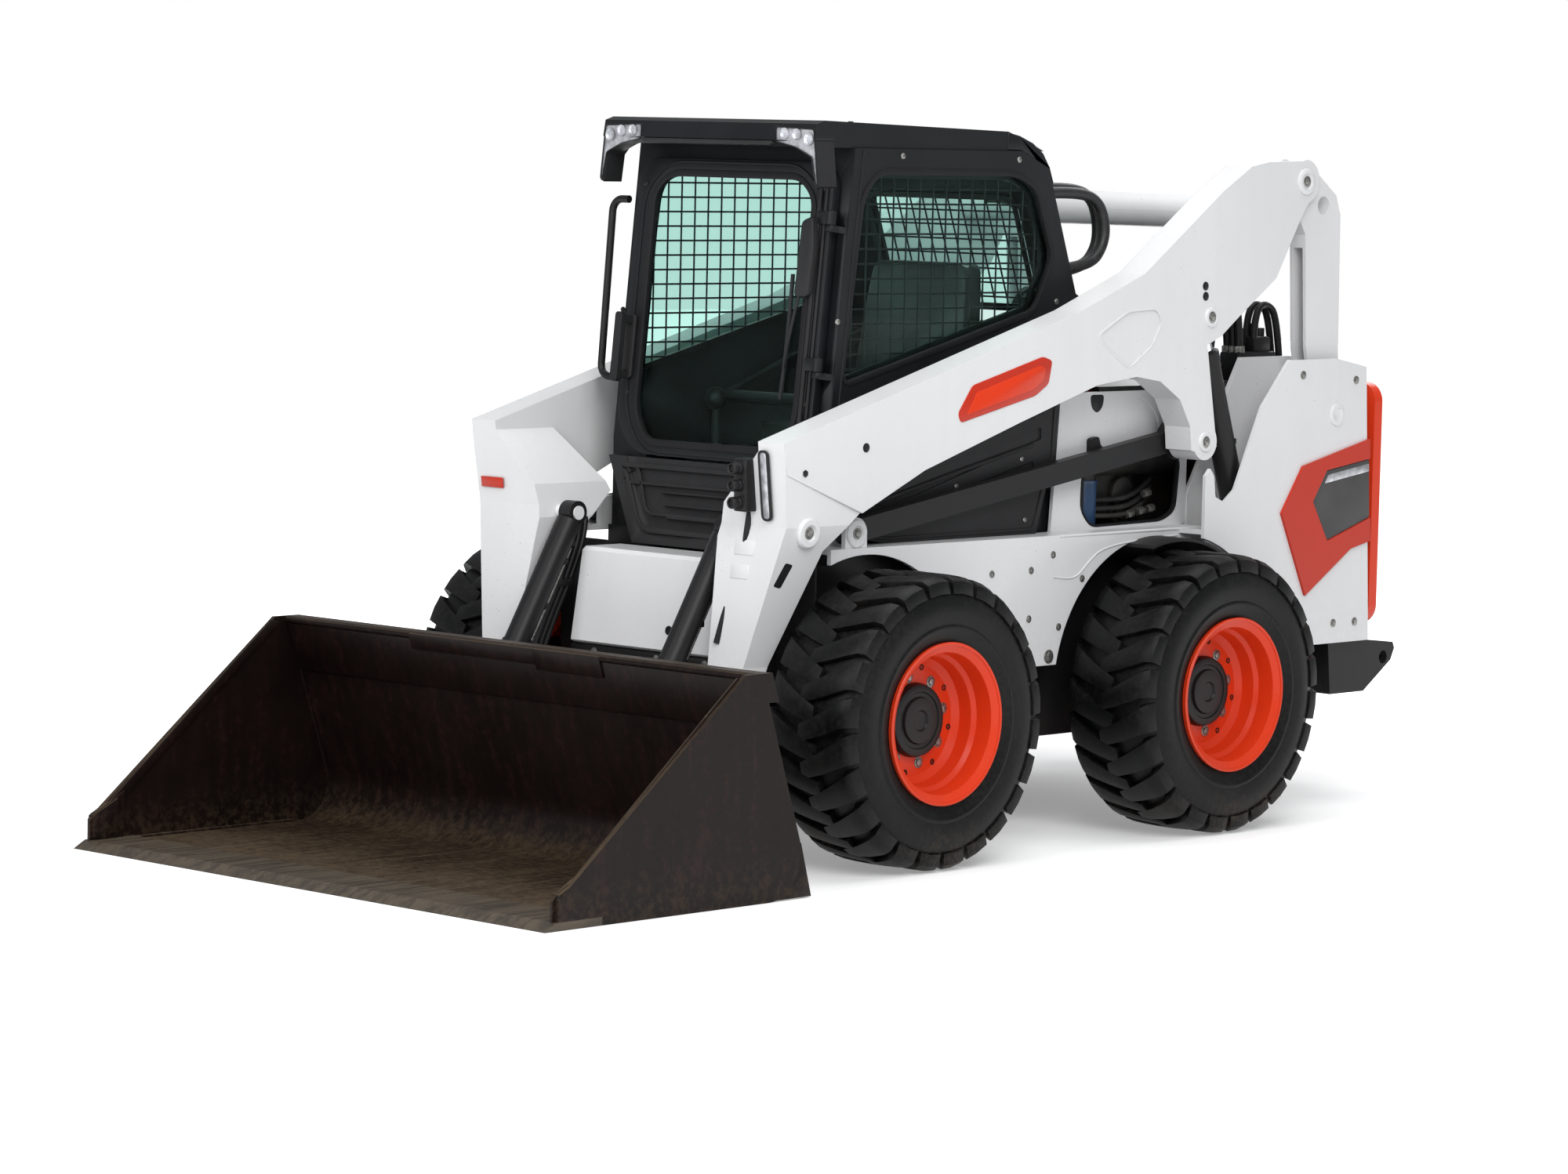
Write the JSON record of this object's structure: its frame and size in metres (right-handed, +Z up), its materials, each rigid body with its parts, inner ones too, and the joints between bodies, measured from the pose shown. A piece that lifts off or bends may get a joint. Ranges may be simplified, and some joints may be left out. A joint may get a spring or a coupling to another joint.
{
  "type": "skid steer loader",
  "caption": "Compact wheeled loader with an enclosed cab, vertical-lift arms that pass beside it, hydraulic cylinders and a low-sided dirt bucket on a quick coupler.",
  "frame": {"origin": "centre of the overall box, on the floor under the tyres", "axes": "+X forward towards the bucket, +Y to the machine's left, +Z up"},
  "size_m": [3.947, 1.89, 2.049],
  "materials": {
    "white_paint": "gloss white enamel",
    "black_paint": "satin black enamel",
    "cab_paint": "textured charcoal black",
    "orange_paint": "gloss orange-red enamel",
    "grey_insert": "dark grey moulding",
    "tyre_rubber": "moulded rubber",
    "bucket_steel": "dark painted steel, worn brown inside",
    "edge_steel": "worn hardened steel",
    "rod_chrome": "polished rod",
    "tinted_glass": "green-tinted safety glass",
    "lamp_lens": "clear lens over a silver bowl",
    "tail_lens": "red lens",
    "seat_vinyl": "black vinyl",
    "black_plastic": "moulded black",
    "hose_rubber": "hydraulic hose",
    "engine_iron": "painted castings"
  },
  "bodies": {
    "frame": {"chassis": "black_paint", "axles": "black_paint", "side_panels": "white_paint", "uprights": "white_paint", "rear_fenders": "black_plastic", "rear_bumper": "black_paint", "engine_block": "engine_iron", "engine_panels": "white_paint", "engine_hood": "black_paint", "side_covers": "black_plastic", "front_panel": "white_paint", "cab_frame": "cab_paint", "cab_roof": "cab_paint", "side_windows": "tinted_glass", "rear_window": "tinted_glass", "work_lamps": "lamp_lens", "toe_panel": "black_plastic", "footwell": "black_paint", "seat": "seat_vinyl", "seat_bar": "black_paint", "controls": "black_plastic", "grab_handle": "black_paint", "rear_hoses": "hose_rubber", "tail_trims": "orange_paint"},
    "door": {"door_frame": "cab_paint", "door_glass": "tinted_glass", "door_handle": "black_plastic"},
    "tailgate": {"tailgate": "orange_paint", "tail_lamps": "tail_lens"},
    "rear_links": {"rear_links": "white_paint"},
    "lift_arms": {"lift_arm_left": "white_paint", "lift_arm_right": "white_paint", "cross_tubes": "white_paint"},
    "control_links": {"control_links": "black_paint"},
    "lift_barrels": {"lift_barrels": "black_paint"},
    "lift_rods": {"lift_rods": "rod_chrome"},
    "tilt_barrels": {"tilt_barrels": "black_paint"},
    "tilt_rods": {"tilt_rods": "rod_chrome"},
    "bucket": {"bucket": "bucket_steel", "cutting_edge": "edge_steel", "quick_coupler": "black_paint"},
    "wheel_front_left": {"tyre_front_left": "tyre_rubber", "wheel_front_left": "orange_paint"},
    "wheel_front_right": {"tyre_front_right": "tyre_rubber", "wheel_front_right": "orange_paint"},
    "wheel_rear_left": {"tyre_rear_left": "tyre_rubber", "wheel_rear_left": "orange_paint"},
    "wheel_rear_right": {"tyre_rear_right": "tyre_rubber", "wheel_rear_right": "orange_paint"}
  },
  "joints": [
    {"name": "rear_link_swing", "type": "hinge", "parent": "frame", "child": "rear_links", "pos_m": [-1.5945, 0, 1.197], "axis": [0, -1, 0], "range_deg": [0, 2.15]},
    {"name": "lift", "type": "hinge", "parent": "rear_links", "child": "lift_arms", "pos_m": [-1.4355, 0, 1.9], "axis": [0, -1, 0], "range_deg": [0, 59.85]},
    {"name": "control_link_swing", "type": "hinge", "parent": "frame", "child": "control_links", "pos_m": [0.4155, 0, 0.912], "axis": [0, -1, 0], "range_deg": [-37.18, 0]},
    {"name": "lift_cylinder_swing", "type": "hinge", "parent": "frame", "child": "lift_barrels", "pos_m": [-1.2945, 0, 0.65], "axis": [0, -1, 0], "range_deg": [0, 3.86]},
    {"name": "lift_rod_slide", "type": "slide", "parent": "lift_barrels", "child": "lift_rods", "axis": [0.3246, 0, 0.9459], "range_m": [0, 0.60331]},
    {"name": "bucket_tilt", "type": "hinge", "parent": "lift_arms", "child": "bucket", "pos_m": [0.9655, 0, 0.235], "axis": [0, 1, 0], "range_deg": [-30, 98]},
    {"name": "tilt_cylinder_swing", "type": "hinge", "parent": "lift_arms", "child": "tilt_barrels", "pos_m": [0.6955, 0, 0.925], "axis": [0, -1, 0], "range_deg": [-0.0305, 0.0985]},
    {"name": "tilt_rod_slide", "type": "slide", "parent": "tilt_barrels", "child": "tilt_rods", "axis": [0.5098, 0, -0.8603], "range_m": [-0.06631, 0.21659]},
    {"name": "door_swing", "type": "hinge", "parent": "frame", "child": "door", "pos_m": [0.46543, 0.401, 1.21444], "axis": [-0.1031, 0, 0.9947], "range_deg": [0, 95]},
    {"name": "tailgate_swing", "type": "hinge", "parent": "frame", "child": "tailgate", "pos_m": [-1.8265, -0.65, 0.9], "axis": [0, 0, 1], "range_deg": [0, 100]},
    {"name": "wheel_front_left_spin", "type": "hinge", "parent": "frame", "child": "wheel_front_left", "pos_m": [0.3855, 0.709, 0.41], "axis": [0, 1, 0], "continuous": true},
    {"name": "wheel_front_right_spin", "type": "hinge", "parent": "frame", "child": "wheel_front_right", "pos_m": [0.3855, -0.709, 0.41], "axis": [0, 1, 0], "continuous": true},
    {"name": "wheel_rear_left_spin", "type": "hinge", "parent": "frame", "child": "wheel_rear_left", "pos_m": [-0.8645, 0.709, 0.41], "axis": [0, 1, 0], "continuous": true},
    {"name": "wheel_rear_right_spin", "type": "hinge", "parent": "frame", "child": "wheel_rear_right", "pos_m": [-0.8645, -0.709, 0.41], "axis": [0, 1, 0], "continuous": true}
  ],
  "couplings": [
    {"joint": "rear_link_swing", "follows": "lift", "ratio": 0.035998},
    {"joint": "control_link_swing", "follows": "lift", "ratio": -0.62131},
    {"joint": "lift_cylinder_swing", "follows": "lift", "ratio": 0.064497},
    {"joint": "lift_rod_slide", "follows": "lift", "m_per_rad": 0.57759},
    {"joint": "tilt_cylinder_swing", "follows": "bucket_tilt", "ratio": 0.001},
    {"joint": "tilt_rod_slide", "follows": "bucket_tilt", "m_per_rad": 0.12662},
    {"joint": "wheel_front_left_spin", "follows": "wheel_rear_left_spin", "ratio": 1},
    {"joint": "wheel_front_right_spin", "follows": "wheel_rear_right_spin", "ratio": 1}
  ]
}
